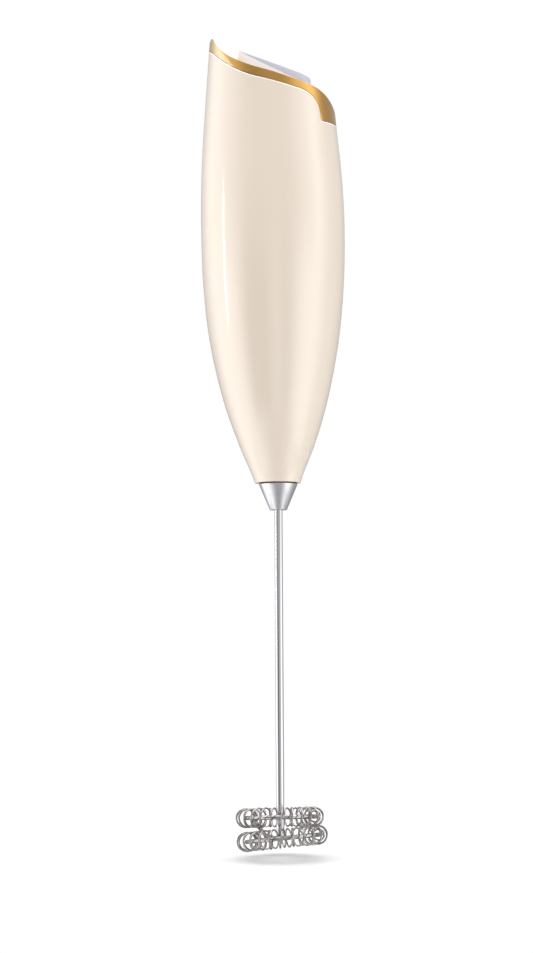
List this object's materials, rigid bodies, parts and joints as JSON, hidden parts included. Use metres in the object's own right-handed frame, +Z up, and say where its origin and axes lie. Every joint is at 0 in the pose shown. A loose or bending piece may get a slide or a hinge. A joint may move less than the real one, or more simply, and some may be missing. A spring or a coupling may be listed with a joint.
{
  "type": "milk frother",
  "caption": "Battery milk frother: slender cream handle with a gilt slanted top and push button, chrome nose cone, thin steel shaft and coil ring whisk.",
  "frame": {"origin": "on the shaft axis, at the seat where the nose cone meets the lower end of the handle", "axes": "+Z up along the shaft axis, from the whisk to the handle; +X to the front, the side that the button slopes down to; +Y to the handle's side"},
  "size_m": [0.0389, 0.0388, 0.22],
  "materials": {
    "cream_gloss": "smooth gloss moulded plastic",
    "gold_trim": "satin gilt plating",
    "button_white": "satin gloss moulded plastic, cool white",
    "satin_chrome": "finely turned satin chrome",
    "polished_steel": "ground and polished stainless steel",
    "whisk_wire": "drawn stainless spring wire",
    "dark_rubber": "matt",
    "white_plastic": "matt moulded plastic",
    "black_plastic": "matt moulded plastic",
    "board_green": "glass fibre board",
    "zinc_steel": "zinc plated",
    "bronze": "sintered bronze",
    "copper": "enamelled copper",
    "contact_brass": "stamped brass",
    "contact_nickel": "nickel plated spring steel",
    "ferrite": "pressed and ground",
    "cell_wrap": "printed film, no marks"
  },
  "bodies": {
    "handle": {"handle_shell": "cream_gloss", "nose_gasket": "dark_rubber", "nose_cone": "satin_chrome", "nose_bush": "bronze", "shaft_seal": "dark_rubber", "motor_cradle": "white_plastic", "motor_screws": "zinc_steel", "damping_sleeve": "dark_rubber", "motor_can": "zinc_steel", "motor_magnets": "ferrite", "motor_front_bush": "bronze", "motor_end_cap": "white_plastic", "motor_rear_bush": "bronze", "motor_brushes": "copper", "motor_terminals": "contact_brass", "contact_board": "board_green", "contact_leaves": "contact_brass"},
    "carrier": {"battery_carrier": "white_plastic", "battery_left": "cell_wrap", "battery_right": "cell_wrap", "lower_plus_contact": "contact_nickel", "lower_minus_spring": "contact_nickel", "upper_plus_contact": "contact_nickel", "upper_minus_spring": "contact_nickel", "top_trim": "gold_trim", "trim_screws": "zinc_steel", "switch_body": "black_plastic", "switch_terminals": "contact_brass", "button_pin": "zinc_steel"},
    "button": {"switch_button": "button_white"},
    "plunger": {"switch_plunger": "white_plastic"},
    "whisk": {"motor_shaft": "polished_steel", "armature_core": "ferrite", "armature_windings": "copper", "commutator": "copper", "shaft_coupling": "white_plastic", "whisk_shaft": "polished_steel", "upper_ring_wire": "whisk_wire", "lower_ring_wire": "whisk_wire", "upper_coil": "whisk_wire", "lower_coil": "whisk_wire"}
  },
  "joints": [
    {"name": "whisk_spin", "type": "hinge", "parent": "handle", "child": "whisk", "pos_m": [0, 0, 0], "axis": [0, 0, 1], "continuous": true},
    {"name": "carrier_slide", "type": "slide", "parent": "handle", "child": "carrier", "axis": [0, 0, 1], "range_m": [0, 0.075]},
    {"name": "button_press", "type": "hinge", "parent": "carrier", "child": "button", "pos_m": [-0.0086, 0, 0.1094], "axis": [0, 1, 0], "range_deg": [0, 4.5], "stiffness_Nm_per_rad": 0.2, "springref_deg": -6.88},
    {"name": "plunger_press", "type": "slide", "parent": "carrier", "child": "plunger", "axis": [0, 0, -1], "range_m": [0, 0.00115], "stiffness_N_per_m": 0.05, "springref_m": -0.004}
  ],
  "couplings": [
    {"joint": "plunger_press", "follows": "button_press", "m_per_rad": 0.0141}
  ]
}
